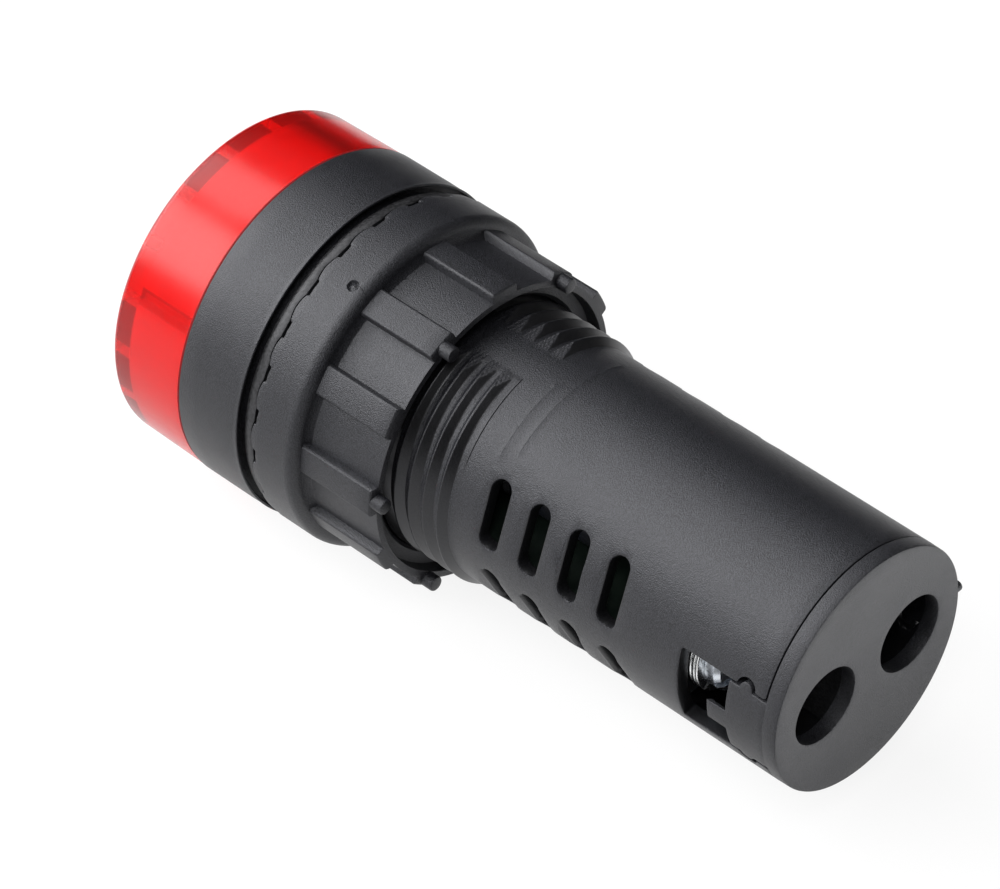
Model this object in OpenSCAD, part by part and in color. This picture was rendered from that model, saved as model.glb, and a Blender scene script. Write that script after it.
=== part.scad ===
// Panel-mount sound and light alarm for a 22 mm panel hole.
// Y runs along the device, the lens faces -Y, and the origin is the middle of the panel seat. Millimetres.

/* [Head] */
// radius of the bezel that stops on the panel
head_r = 14.7; // [14.2:0.1:17]
// length of the bezel in front of the panel seat
bezel_len = 6.45; // [5.6:0.05:9]
// wall of the bezel's cup
bezel_wall = 1.1; // [0.9:0.05:1.6]
// thickness of the floor behind the cup
cup_floor_t = 2.4; // [1.8:0.1:3]
// length of the lens that shows in front of the bezel
lens_len = 7.7; // [7:0.1:12]
// how far the lens stays inside the bezel's outline
lens_step = 0.05; // [0:0.05:0.6]
// thickness of the lens side wall
lens_wall = 1.1; // [0.9:0.1:1.6]
// thickness of the lens front
lens_front_t = 1.4; // [1:0.1:2]
// rounding of the lens's front edge
lens_edge_r = 0.6; // [0.3:0.1:1]
// number of sound slots in the lens front
slot_count = 18; // [8:1:20]
// radial length of a sound slot
slot_len = 1.7; // [1:0.1:2.5]
// angle of the bar between two sound slots
slot_bar = 4.5; // [3:0.5:8]

/* [Neck and barrel] */
// radius over the thread crests
thread_r = 11.0; // [10.6:0.05:11.6]
// depth of the thread
thread_depth = 0.55; // [0.4:0.05:0.8]
// pitch of the neck thread
thread_pitch = 1.5; // [1.4:0.1:2]
// width of a thread crest
thread_crest = 0.64; // [0.4:0.02:0.8]
// where the thread stops, behind the panel seat
thread_end = 19.2; // [17:0.1:20.5]
// wall of the barrel
barrel_wall = 1.25; // [1:0.05:1.4]
// length of the barrel behind the panel seat
barrel_len = 50.3; // [47:0.1:60]
// distance from the end of the thread to the first vent slot
vent_lead = 3.58; // [2:0.02:5]
// width of a vent slot
vent_w = 1.85; // [1:0.05:2.6]
// distance between vent slots
vent_pitch = 4.02; // [3.2:0.02:4.6]
// number of vent slots in a row
vent_count = 4; // [2:1:4]
// angle that a vent slot spans
vent_span = 34; // [20:1:40]
// angle between a row of vents and the middle plane
vent_gap = 6.5; // [4:0.5:12]

/* [Seal ring and nut] */
// thickness of the seal ring
seal_t = 1.45; // [1:0.05:2]
// width of the seal ring between its hole and its rim
seal_w = 3.22; // [2.6:0.02:3.6]
// thickness of the seal ring's narrow foot on the bezel's side
foot_t = 0.7; // [0.3:0.05:1]
// width of the seal ring's foot
foot_w = 2.2; // [1.6:0.05:2.5]
// length of the nut without its nubs
nut_len = 12.2; // [11:0.1:13.5]
// how far the nut's flange stays inside the bezel's outline
nut_inset = 0.1; // [0:0.05:0.5]
// length of the nut's flange up to its rounded shoulder
nut_flange_len = 3.45; // [2.5:0.05:4.5]
// wall of the nut between its bore and the floor between the ribs
nut_wall = 1.92; // [1.4:0.02:2.4]
// height of a grip rib
rib_h = 0.73; // [0.4:0.01:0.9]
// angle that a grip rib spans
rib_span = 11; // [8:0.5:16]
// number of grip ribs
nut_ribs = 12; // [6:2:16]
// number of teeth that bite on the seal ring
nut_teeth = 24; // [12:1:30]
// height of a tooth
tooth_h = 0.4; // [0.2:0.05:0.6]
// gap between two teeth
tooth_gap = 1.3; // [0.8:0.1:2]
// radius of the ejector nubs on the nut's back
nub_r = 0.65; // [0.4:0.05:0.8]
// length of an ejector nub
nub_len = 0.75; // [0.3:0.05:1]

/* [End cap and terminals] */
// thickness of the end cap's disc
cap_t = 1.44; // [1.2:0.02:2.2]
// radius of a driver hole
hole_r = 3.3; // [2.9:0.05:3.6]
// distance of a terminal from the axis
term_x = 4.77; // [4.4:0.01:5]
// half width of the wire window
window_half = 3.7; // [3:0.05:4.2]
// length of the wire window
window_len = 8.15; // [7:0.05:9]
// length of the snap tab in the window
tab_len = 3.45; // [3:0.05:4]
// length of the finger on the snap tab
finger_len = 1.8; // [1:0.1:2.4]
// half width of the finger
finger_half = 1.1; // [0.8:0.1:1.6]
// radius of the snap bumps on the tab's sides
snap_r = 0.57; // [0.4:0.01:0.7]
// radius of the terminal screw's shank
screw_r = 1.5; // [1.2:0.05:1.6]
// radius of the terminal screw's head
screw_head_r = 3.25; // [2.6:0.05:3.4]
// height of the terminal screw's head
screw_head_h = 1.75; // [1.4:0.05:2]
// clearance of the clamp washer in its chamber
clamp_gap = 0.07; // [0.05:0.01:0.6]
// thickness of each washer
washer_t = 0.6; // [0.4:0.05:0.8]
// thickness of a terminal plate
plate_t = 0.8; // [0.6:0.1:1.2]
// thickness of the terminal base
base_t = 3.7; // [3:0.1:4.5]

/* [Boards and sounder] */
// thickness of the main board
pcb_t = 1.2; // [0.8:0.1:1.6]
// thickness of the lamp board
lamp_board_t = 1.0; // [0.8:0.1:1.6]
// number of lamps
lamp_count = 8; // [4:1:10]
// radius of the sounder case
case_r = 7.2; // [6.4:0.1:7.6]
// wall of the sounder case
case_wall = 0.8; // [0.6:0.05:1]
// radius of the sounder's ceramic disc
ceramic_r = 4.3; // [3:0.1:5]

/* [Hidden] */
$fn = 96;
cut = 1;
far = 20;
seat = 0.02;
run = 0.08;
slip = 0.05;
edge = 0.15;
sink = 0.3;

// head
cup_r = head_r - bezel_wall;
cup_floor = -cup_floor_t;
lens_r = head_r - lens_step;
lens_draft = 0.1;
lens_front_r = lens_r - lens_draft;
lens_in_r = lens_front_r - lens_wall;
lens_rim = -bezel_len;
lens_face = lens_rim - lens_len;
lens_inside = lens_face + lens_front_t;
press = 0.1;
spigot_wall = 1.1;
spigot_r = cup_r - press;
spigot_in_r = spigot_r - spigot_wall;
spigot_blend = 0.8;
lamp_board_front = cup_floor - lamp_board_t;
slot_pitch = 360 / slot_count;
slot_edge = 0.4;
slot_r1 = lens_in_r - slot_edge;
slot_r0 = slot_r1 - slot_len;
slot_first = 17;
lens_rib_th = 30;
lens_rib_half = 0.45;
rib_gap = 0.6;
bezel_bevel = 0.12;

// neck and barrel
barrel_r = thread_r - thread_depth;
bore_r = barrel_r - barrel_wall;
flat_half = 9;
flat_z = barrel_r * cos(flat_half);
ridge_arc = 166;
ridge_run_out = 42;
ridge_run_out_th = 62;
ridge_sink = 0.35;
ridge_root = 1.48;
ridge_top = thread_end + seat;
ridge_clear = 3.1;
ridge_n = floor((ridge_top - ridge_clear) / thread_pitch);
lead_share = 0.21;
lead_tilt = atan(lead_share * thread_pitch / thread_r);
vent_first = thread_end + vent_lead;
vent_mid = vent_gap + vent_span / 2;
vent_round = 0.52;
vent_end_r = vent_w * vent_round;
vent_end = asin(vent_end_r / barrel_r);

// seal ring and nut
nut_flange_r = head_r - nut_inset;
nut_bore_r = thread_r + run;
nut_floor_r = nut_bore_r + nut_wall;
nut_rib_r = nut_floor_r + rib_h;
nut_mid_r = (nut_bore_r + nut_floor_r) / 2;
seal_in_r = thread_r + run;
seal_r = seal_in_r + seal_w;
foot_r = seal_in_r + foot_w;
nut_front = seal_t + seat;
nut_back = nut_front + nut_len;
nut_drop = nut_flange_r - nut_floor_r;
nut_fillet = min(0.6, nut_drop / 2);
nut_round = nut_drop - nut_fillet;
nut_shoulder = nut_front + nut_flange_len;
nut_lead_in = 0.5;
rib_first = 9.5;
tooth_first = 2.5;
rib_short = 0.4;
rib_back = nut_back - rib_short;
nub_root = 3;

// end cap
cap_front = barrel_len + seat;
cap_back = cap_front + cap_t;
cap_bevel = 0.15;
cap_draft = 0.03;
spigot_len = 1.5;
spigot_t = 1.0;
window_y = barrel_len - window_len;
window_side = 0.6;
tab_gap = 0.2;
tab_half = window_half - tab_gap;
tab_y = barrel_len - tab_len;
finger_y = tab_y - finger_len;
snap_back = 1.9;
snap_y = barrel_len - snap_back;
snap_gap = 0.28;
snap_reach = 5;
gate_r = 0.45;
gate_len = 0.25;
gate_y = 0.62;

// terminals
wire_gap = 0.85;
plate_back = window_y - wire_gap;
base_back = plate_back - plate_t;
base_front = base_back - base_t;
base_r = bore_r - slip;
wall_half = 0.75;
wall_gap = 0.3;
wall_side = 1.4;
plate_half = 3.4;
plate_gap = 0.25;
plate_side = 1.0;
plate_x0 = wall_half + plate_gap;
plate_x1 = bore_r - plate_side;
tail_x0 = 1.4;
tail_x1 = 2.8;
tail_t = 0.7;
tail_len = 3;
tail_gap = 0.1;
shank_gap = 0.3;
shank_point = 0.4;
clamp_r = min(term_x - wall_half, bore_r - term_x) - clamp_gap;
clamp_y = plate_back + seat;
spring_y = clamp_y + washer_t + seat;
head_y = spring_y + washer_t + seat;
washer_gap = 0.1;
spring_r = clamp_r - washer_gap;
split_half = 0.2;
split_th = 35;
shank_short = 0.6;
shank_end = base_front + shank_short;
recess_half = 0.4;
recess_depth = 0.85;
cross_depth = 1.2;
cross_half = 1.45;
recess_th = 20;

// main board and what stands on it
pcb_gap = 0.3;
pcb_half = bore_r - pcb_gap;
pcb_front = 2.0;
pcb_short = 0.6;
pcb_back = base_front - pcb_short;
pcb_top = pcb_t / 2 + slip;
rail_h = 0.5;
rail_w = 1.2;
stop_half = 2;
stop_h = 1;
stop_len = 1.2;
part_gap = 0.75;
drop_x0 = -6.1;
drop_x1 = -0.9;
drop_len = 11;
drop_top = sqrt(pow(bore_r - part_gap, 2) - pow(drop_x0, 2));
drop_gap = 2.2;
drop_back = pcb_back - tail_len - drop_gap;
filter_r = 2.5;
filter_x = 3.4;
filter_len = 11;
filter_gap = 3.2;
filter_back = pcb_back - tail_len - filter_gap;
filter_bevel = 0.3;
crimp = 0.3;
crimp_y = 1.7;
crimp_half = 0.4;
bridge_x = 3.15;
bridge_w = 4.7;
bridge_len = 3.9;
bridge_h = 2.5;
bridge_gap = 1.8;
bridge_back = pcb_back - tail_len - bridge_gap;
chip_x = -3.45;
chip_w = 3.9;
chip_len = 5;
chip_h = 1.6;
chip_gap = 0.5;
chip_back = bridge_back - bridge_len - chip_gap;
resistor_count = 3;
resistor_r = 1.2;
resistor_waist = 1.0;
resistor_len = 6.3;
resistor_end = 1.35;
resistor_blend = 0.25;
resistor_pitch = 2.7;
resistor_gap = 4.7;
resistor_first = pcb_front + resistor_gap;
pin_count = 4;
pin_r = 0.32;
pin_pitch = 2.54;
pin_tail = 3;
pin_gap = 0.1;

// lamp board and sounder
lamp_gap = 0.15;
lamp_len = 2.8;
lamp_half = 1.75;
lamp_h = 1.5;
lamp_well_r = 1.15;
lamp_well = 0.5;
lamp_shift = 0.1;
lamp_r = (case_r + spigot_in_r) / 2 + lamp_shift;
case_gap = 1.2;
case_front = lens_inside + case_gap;
case_back = lamp_board_front;
case_t = 0.9;
case_bevel = 0.4;
sound_hole_r = 1.5;
ledge = 0.7;
cover_len = 2.6;
cover_t = 1.2;
plate_seat = 2.3;
brass_t = 0.26;
ceramic_t = 0.25;

// turns a shape made along Z so that it runs along Y
module ay() {
  rotate([-90, 0, 0]) children();
}

// a body turned round the device axis, from points of radius and Y
module turned(p) {
  ay() rotate_extrude() polygon(p);
}

// a piece of a ring, centred on an angle from +X towards +Z
module sector(r0, r1, y0, y1, th, w) {
  ay() rotate([0, 0, -th - w / 2]) rotate_extrude(angle = w)
    polygon([[r0, y0], [r1, y0], [r1, y1], [r0, y1]]);
}

module ring(r0, r1, y0, y1) {
  turned([[r0, y0], [r1, y0], [r1, y1], [r0, y1]]);
}

module rod(x, z, r, y0, y1) {
  translate([x, y0, z]) ay() cylinder(r = r, h = y1 - y0);
}

module block(x0, x1, y0, y1, z0, z1) {
  translate([x0, y0, z0]) cube([x1 - x0, y1 - y0, z1 - z0]);
}

// a block that starts at x0 from the middle plane, on the side s of it
module side_block(s, x0, x1, y0, y1, z0, z1) {
  block(s > 0 ? x0 : -x1, s > 0 ? x1 : -x0, y0, y1, z0, z1);
}

// a peg that points outwards from the axis
module radial_peg(r, r0, r1, y, th) {
  translate([0, y, 0]) rotate([0, -th, 0]) translate([r0, 0, 0]) rotate([0, 90, 0])
    cylinder(r = r, h = r1 - r0);
}

// red translucent cap: side wall, front with a ring of sound slots, two inner ribs and a spigot
module lens() {
  e = lens_edge_r;
  color("#d3161c") difference() {
    union() {
      turned(concat(
        [[0, lens_inside], [0, lens_face]],
        [for (a = [-90:15:0]) [lens_front_r - e + e * cos(a), lens_face + e + e * sin(a)]],
        [[lens_r, lens_rim], [spigot_r, lens_rim], [spigot_r, lamp_board_front - seat],
         [spigot_in_r, lamp_board_front - seat], [spigot_in_r, lens_rim - spigot_blend],
         [lens_in_r, lens_rim - 2 * spigot_blend], [lens_in_r, lens_inside]]));
      for (s = [0, 180]) {
        rotate([0, -lens_rib_th - s, 0]) block(spigot_in_r - edge, lens_in_r + sink, lens_inside + rib_gap,
          lens_rim - spigot_blend - edge, -lens_rib_half, lens_rib_half);
      }
    }
    for (i = [0:slot_count - 1]) {
      sector(slot_r0, slot_r1, lens_face - cut, lens_inside + sink, slot_first + i * slot_pitch,
        slot_pitch - slot_bar);
    }
  }
}

// thread ridges of one side: each is part of a ring, tilted by the lead of the thread
module ridges(side) {
  last = ridge_top - (side > 0 ? thread_pitch : thread_pitch / 2);
  for (k = [0:ridge_n - 1]) {
    translate([0, last - k * thread_pitch, 0]) rotate([side * lead_tilt, 0, 0])
      ridge(side > 0 ? 0 : 180, ridge_arc);
  }
  if (side > 0) {
    translate([0, ridge_top, 0]) rotate([lead_tilt, 0, 0]) ridge(ridge_run_out_th, ridge_run_out);
  }
}

module ridge(th, w) {
  ay() rotate([0, 0, -th - w / 2]) rotate_extrude(angle = w) polygon([
    [barrel_r - ridge_sink, -ridge_root / 2], [thread_r, -thread_crest / 2],
    [thread_r, thread_crest / 2], [barrel_r - ridge_sink, ridge_root / 2]]);
}

// curved slot through the barrel wall with rounded ends
module vent(y, th) {
  w = vent_span - 2 * vent_end;
  intersection() {
    ring(bore_r - cut, barrel_r + cut, y - vent_w / 2, y + vent_w / 2);
    union() {
      sector(bore_r - 2 * cut, barrel_r + 2 * cut, y - vent_w, y + vent_w, th, w);
      for (s = [-1, 1]) {
        radial_peg(vent_end_r, bore_r - 2 * cut, barrel_r + 2 * cut, y, th + s * w / 2);
      }
    }
  }
}

// black moulding: bezel cup, neck with interrupted thread, vented barrel, wire windows, board rails
module housing() {
  front = lens_rim + seat;
  color("#1b1b1d") difference() {
    union() {
      turned([[cup_r, front], [head_r - bezel_bevel, front], [head_r, front + bezel_bevel],
        [head_r, -bezel_bevel], [head_r - bezel_bevel, 0], [barrel_r, 0], [barrel_r, barrel_len],
        [bore_r, barrel_len], [bore_r, cup_floor], [cup_r, cup_floor]]);
      difference() {
        union() {
          ridges(1);
          ridges(-1);
        }
        for (s = [0, 180]) {
          rotate([0, s, 0]) block(-far, far, 0, thread_end + thread_pitch, flat_z, far);
        }
      }
      for (s = [-1, 1]) {
        for (t = [0, 180]) {
          rotate([0, t, 0]) side_block(s, bore_r - rail_w, bore_r + sink, pcb_front, pcb_back,
            pcb_top, pcb_top + rail_h);
        }
        rotate([0, s > 0 ? 0 : 180, 0]) block(-stop_half, stop_half, base_front - stop_len, base_front - seat,
          bore_r - stop_h, bore_r + sink);
      }
    }
    for (s = [-1, 1]) {
      side_block(s, bore_r - 4 * cut, barrel_r + cut, window_y, barrel_len + cut, -window_half, window_half);
      for (t = [-1, 1]) {
        translate([s * bore_r, snap_y, t * window_half]) rotate([0, 90, 0])
          cylinder(r = snap_r + snap_gap, h = snap_reach, center = true);
      }
    }
    for (i = [0:vent_count - 1]) {
      for (th = [vent_mid, -vent_mid, 180 - vent_mid, 180 + vent_mid]) {
        vent(vent_first + i * vent_pitch, th);
      }
    }
  }
}

// rubber ring that seals the panel hole, with a narrow foot on the bezel's side
module seal_ring() {
  color("#2c2c2e") turned([[seal_in_r, seat], [foot_r, seat], [foot_r, foot_t], [seal_r, foot_t],
    [seal_r, seal_t], [seal_in_r, seal_t]]);
}

// black plastic nut: flange with teeth, rounded shoulder, grip ribs and ejector nubs
module panel_nut() {
  y = nut_shoulder;
  r = nut_round;
  f = nut_fillet;
  color("#202022") difference() {
    union() {
      turned(concat(
        [[nut_bore_r + nut_lead_in, nut_back], [nut_bore_r, nut_back - nut_lead_in],
         [nut_bore_r, nut_front + nut_lead_in], [nut_bore_r + nut_lead_in, nut_front],
         [nut_flange_r - edge, nut_front], [nut_flange_r, nut_front + edge]],
        [for (a = [0:9:90]) [nut_flange_r - r + r * cos(a), y + r * sin(a)]],
        [for (a = [270:-15:180]) [nut_floor_r + f + f * cos(a), y + r + f + f * sin(a)]],
        [[nut_floor_r, nut_back - edge], [nut_floor_r - edge, nut_back]]));
      for (i = [0:nut_ribs - 1]) {
        sector(nut_mid_r, nut_rib_r, y, rib_back, rib_first + i * 360 / nut_ribs, rib_span);
      }
      for (i = [0:2:nut_ribs - 1]) {
        rotate([0, -rib_first - i * 360 / nut_ribs, 0]) difference() {
          rod(nut_rib_r - nub_r - slip, 0, nub_r, nut_back - nub_root, nut_back + nub_len);
          rod(0, 0, nut_mid_r, nut_back - far, nut_back + far);
        }
      }
    }
    for (i = [0:nut_teeth - 1]) {
      rotate([0, -tooth_first - i * 360 / nut_teeth, 0]) block(nut_mid_r, nut_flange_r + cut,
        nut_front - cut, nut_front + tooth_h, -tooth_gap / 2, tooth_gap / 2);
    }
  }
}

// black cover of the terminals: disc with two driver holes and two snap tabs that fill the windows
module end_cap() {
  color("#1d1d1f") difference() {
    union() {
      turned([[0, cap_front], [barrel_r, cap_front], [barrel_r - cap_draft, cap_back - cap_bevel],
        [barrel_r - cap_bevel, cap_back], [0, cap_back]]);
      difference() {
        ring(bore_r - press - spigot_t, bore_r - press, barrel_len - spigot_len, cap_front + sink);
        block(-far, far, barrel_len - far, cap_front, -window_half - window_side, window_half + window_side);
      }
      intersection() {
        ring(bore_r, barrel_r, finger_y - cut, cap_front + sink);
        union() {
          block(-far, far, tab_y, cap_front + sink, -tab_half, tab_half);
          block(-far, far, finger_y, tab_y + sink, -finger_half, finger_half);
          for (t = [-1, 1]) {
            translate([0, snap_y, t * tab_half]) rotate([0, 90, 0])
              cylinder(r = snap_r, h = 2 * far, center = true);
          }
        }
      }
      translate([-barrel_r - gate_len, cap_front + gate_y, 0]) rotate([0, 90, 0])
        cylinder(r = gate_r, h = cut);
    }
    for (s = [-1, 1]) {
      rod(s * term_x, 0, hole_r, cap_front - cut, cap_back + cut);
    }
  }
}

// black insulating block that carries both terminals, with a wall between them
module terminal_base() {
  color("#262628") difference() {
    union() {
      ring(0, base_r, base_front, base_back);
      intersection() {
        block(-wall_half, wall_half, base_back - sink, barrel_len - wall_gap, -far, far);
        ring(0, bore_r - wall_side, base_back - cut, barrel_len);
      }
    }
    for (s = [-1, 1]) {
      rod(s * term_x, 0, screw_r + shank_gap, base_front - cut, base_back + cut);
      side_block(s, tail_x0 - tail_gap, tail_x1 + tail_gap, base_front - cut, base_back + cut,
        pcb_top - tail_gap, pcb_top + tail_t + tail_gap);
    }
  }
}

// plated terminal: plate with the screw's hole and a tail that is soldered to the main board
module terminal_plate(s) {
  color("#c9ccd0") difference() {
    union() {
      side_block(s, plate_x0, plate_x1, base_back, plate_back, -plate_half, plate_half);
      side_block(s, tail_x0, tail_x1, pcb_back - tail_len, base_back + sink, pcb_top, pcb_top + tail_t);
    }
    rod(s * term_x, 0, screw_r + slip, base_back - cut, plate_back + cut);
  }
}

module terminal_plate_a() {
  terminal_plate(1);
}

module terminal_plate_b() {
  terminal_plate(-1);
}

// flat washer that presses the wire on the terminal plate
module clamp_washer(s) {
  color("#d3d6da") translate([s * term_x, 0, 0])
    turned([[screw_r + washer_gap, clamp_y], [clamp_r - edge, clamp_y], [clamp_r, clamp_y + edge],
      [clamp_r, clamp_y + washer_t], [screw_r + washer_gap, clamp_y + washer_t]]);
}

module clamp_washer_a() {
  clamp_washer(1);
}

module clamp_washer_b() {
  clamp_washer(-1);
}

// split spring washer under the screw's head
module spring_washer(s) {
  color("#c4c7cb") translate([s * term_x, 0, 0]) difference() {
    ring(screw_r + washer_gap, spring_r, spring_y, spring_y + washer_t);
    rotate([0, split_th, 0]) block(0, far, spring_y - cut, spring_y + washer_t + cut,
      -split_half, split_half);
  }
}

module spring_washer_a() {
  spring_washer(1);
}

module spring_washer_b() {
  spring_washer(-1);
}

// plated pan-head screw with a slot and a cross
module terminal_screw(s) {
  r = screw_head_r;
  t = head_y + screw_head_h;
  color("#d8dade") translate([s * term_x, 0, 0]) difference() {
    turned([[0, shank_end], [screw_r - shank_point, shank_end], [screw_r, shank_end + shank_point],
      [screw_r, head_y], [r - edge, head_y], [r, head_y + edge], [r, t - 5 * edge],
      [r - 2 * edge, t - 2 * edge], [r - 6 * edge, t], [0, t]]);
    rotate([0, recess_th, 0]) block(-far, far, t - recess_depth, t + cut, -recess_half, recess_half);
    rotate([0, recess_th + 90, 0])
      block(-cross_half, cross_half, t - cross_depth, t + cut, -recess_half, recess_half);
  }
}

module terminal_screw_a() {
  terminal_screw(1);
}

module terminal_screw_b() {
  terminal_screw(-1);
}

// glass-fibre circuit board in the barrel's rails
module main_board() {
  color("#1f6b3c") block(-pcb_half, pcb_half, pcb_front, pcb_back, -pcb_t / 2, pcb_t / 2);
}

// film capacitor in a box
module drop_capacitor() {
  color("#b8932e") block(drop_x0, drop_x1, drop_back - drop_len, drop_back, pcb_top, drop_top);
}

// electrolytic capacitor lying on the board, with its crimp groove
module filter_capacitor() {
  r = filter_r;
  b = filter_bevel;
  y0 = filter_back - filter_len;
  color("#20242e") translate([filter_x, 0, pcb_top + r])
    turned([[0, y0], [r - b, y0], [r, y0 + b], [r, y0 + crimp_y - crimp_half], [r - crimp, y0 + crimp_y],
      [r, y0 + crimp_y + crimp_half], [r, filter_back - b], [r - b, filter_back], [0, filter_back]]);
}

// a moulded part under the board, by its middle and its back edge
module under_board(x, w, back, len, h) {
  block(x - w / 2, x + w / 2, back - len, back, -pcb_top - h, -pcb_top);
}

module bridge_rectifier() {
  color("#1a1a1a") under_board(bridge_x, bridge_w, bridge_back, bridge_len, bridge_h);
}

module driver_chip() {
  color("#1a1a1a") under_board(chip_x, chip_w, chip_back, chip_len, chip_h);
}

// resistors across the board, thicker at their ends
module resistors() {
  r = resistor_r;
  w = resistor_waist;
  e = resistor_end;
  b = resistor_blend;
  l = resistor_len;
  color("#c8ae84") for (i = [0:resistor_count - 1]) {
    translate([-l / 2, resistor_first + i * resistor_pitch, pcb_top + r]) rotate([0, 90, 0])
      rotate_extrude() polygon([[0, 0], [w, 0], [r, b], [r, e], [w, e + b], [w, l - e - b], [r, l - e],
        [r, l - b], [w, l], [0, l]]);
  }
}

// a row across the board, centred on the middle plane
module pin_row(r, y0, y1) {
  for (i = [0:pin_count - 1]) {
    rod((i - (pin_count - 1) / 2) * pin_pitch, pcb_top + pin_r, r, y0, y1);
  }
}

// pins that join the main board to the lamp board
module header_pins() {
  color("#cdb465") pin_row(pin_r, lamp_board_front + slip, pcb_front + pin_tail);
}

// round circuit board behind the lens, held by the lens's spigot
module led_board() {
  color("#e9e9e4") difference() {
    ring(0, cup_r - lamp_gap, lamp_board_front, cup_floor - seat);
    pin_row(pin_r + pin_gap, lamp_board_front - cut, cup_floor + cut);
  }
}

// lamps round the sounder
module leds() {
  color("#f2ead0") for (i = [0:lamp_count - 1]) {
    rotate([0, -(i + 0.5) * 360 / lamp_count, 0]) difference() {
      block(lamp_r - lamp_len / 2, lamp_r + lamp_len / 2, lamp_board_front - lamp_h, lamp_board_front,
        -lamp_half, lamp_half);
      rod(lamp_r, 0, lamp_well_r, lamp_board_front - lamp_h - cut, lamp_board_front - lamp_h + lamp_well);
    }
  }
}

// pale resonator cup with a sound hole and a ledge for the sounding plate
module sounder_case() {
  r1 = case_r - case_wall;
  r0 = r1 - ledge;
  color("#e6e4dc") turned([[sound_hole_r, case_front], [case_r - case_bevel, case_front],
    [case_r, case_front + case_bevel], [case_r, case_back - seat], [r1, case_back - seat],
    [r1, case_back - cover_len], [r0, case_back - cover_len], [r0, case_front + case_t],
    [sound_hole_r, case_front + case_t]]);
}

// plug that closes the resonator from behind and clamps the sounding plate
module sounder_cover() {
  r1 = case_r - case_wall - slip;
  r0 = case_r - case_wall - ledge;
  color("#2a2a2c") turned([[0, case_back - cover_t], [r0, case_back - cover_t], [r0, case_back - plate_seat],
    [r1, case_back - plate_seat], [r1, case_back - seat], [0, case_back - seat]]);
}

// brass plate of the sounder
module piezo_plate() {
  y1 = case_back - plate_seat - seat;
  color("#c9a74a") ring(0, case_r - case_wall - 2 * slip, y1 - brass_t, y1);
}

// ceramic disc bonded to the brass plate
module piezo_ceramic() {
  y0 = case_back - plate_seat - seat / 2;
  color("#e8e2d2") ring(0, ceramic_r, y0, y0 + ceramic_t);
}

lens();
housing();
seal_ring();
panel_nut();
end_cap();
terminal_base();
terminal_plate_a();
terminal_plate_b();
clamp_washer_a();
clamp_washer_b();
spring_washer_a();
spring_washer_b();
terminal_screw_a();
terminal_screw_b();
main_board();
drop_capacitor();
filter_capacitor();
bridge_rectifier();
driver_chip();
resistors();
header_pins();
led_board();
leds();
sounder_case();
sounder_cover();
piezo_plate();
piezo_ceramic();
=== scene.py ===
import math

import bmesh
import bpy
from mathutils import Matrix, Vector
from mathutils.geometry import delaunay_2d_cdt


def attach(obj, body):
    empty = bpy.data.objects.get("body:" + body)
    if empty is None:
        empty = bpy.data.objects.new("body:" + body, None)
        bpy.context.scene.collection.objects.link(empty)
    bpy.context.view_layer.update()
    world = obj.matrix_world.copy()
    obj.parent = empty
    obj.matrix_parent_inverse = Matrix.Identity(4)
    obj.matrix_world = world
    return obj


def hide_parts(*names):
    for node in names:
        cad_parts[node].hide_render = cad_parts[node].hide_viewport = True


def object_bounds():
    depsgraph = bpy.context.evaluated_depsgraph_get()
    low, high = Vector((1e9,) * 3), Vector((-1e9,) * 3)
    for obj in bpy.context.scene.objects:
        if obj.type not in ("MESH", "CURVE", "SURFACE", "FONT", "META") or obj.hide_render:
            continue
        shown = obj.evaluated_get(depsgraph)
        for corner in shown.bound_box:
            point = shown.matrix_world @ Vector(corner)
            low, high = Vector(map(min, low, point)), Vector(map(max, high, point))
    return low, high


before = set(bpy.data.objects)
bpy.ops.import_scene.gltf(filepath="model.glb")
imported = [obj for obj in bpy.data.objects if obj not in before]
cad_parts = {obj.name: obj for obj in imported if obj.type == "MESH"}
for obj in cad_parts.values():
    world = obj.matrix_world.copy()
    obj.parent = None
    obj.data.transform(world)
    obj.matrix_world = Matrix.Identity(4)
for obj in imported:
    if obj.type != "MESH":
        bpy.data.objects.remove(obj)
cad_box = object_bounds()

# Housing: one black moulding with a cup for the lens, a neck whose thread stops at two flats, and a
# barrel with four rows of vents and two wire windows at its open end. Sizes here and below are in
# millimetres, Y runs from the lens to the terminals, and angles go from +X up to +Z.
MM = 0.001
head_r, cup_r, mouth_y, cup_floor_y = 14.7, 13.6, -6.43, -2.4
groove_outer_r, groove_inner_r, groove_y = 14.44, 13.4, -0.85
barrel_r, bore_r, barrel_end = 10.45, 9.2, 50.3
neck_start, sheet_start = 0.25, 20.9
thread_r, pitch, thread_top, ridge_count, lead = 11.0, 1.5, 19.48, 11, 0.315
crest_half, crest_round, front_run, rear_run = 0.06, 0.06, 0.45, 0.62
root_lift, lift_start, lift_full, lift_end, lift_back = 0.06, 30, 44, -0.29, -0.25
side_end, flat_half, flat_limit, chatter_height = 83, 9, 0.7, 0.03
flat_turn = 180 - 2 * side_end
flat_z = barrel_r * math.cos(math.radians(flat_half))
vent_first, vent_pitch, vent_count = 22.78, 4.02, 4
vent_half, vent_edge, vent_turn = 0.925, 0.16, 17
vent_reach = math.radians(vent_turn) * barrel_r - vent_half
vent_middles = (23.5, -23.5, 156.5, 203.5)
window_y, window_half_z, window_edge, window_round = 42.15, 3.7, 0.09, 0.3
straight_turn, bent_turn = 26, 60
recess_y, recess_r = 48.4, 0.85
witness_lines, witness_half, witness_height = ((21.35, 48, 88), (22.7, 51, 122)), 0.05, 0.02
net_rows, net_turn, net_step, witness_turn = 24, 2.5, 0.6, 1.5
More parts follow.
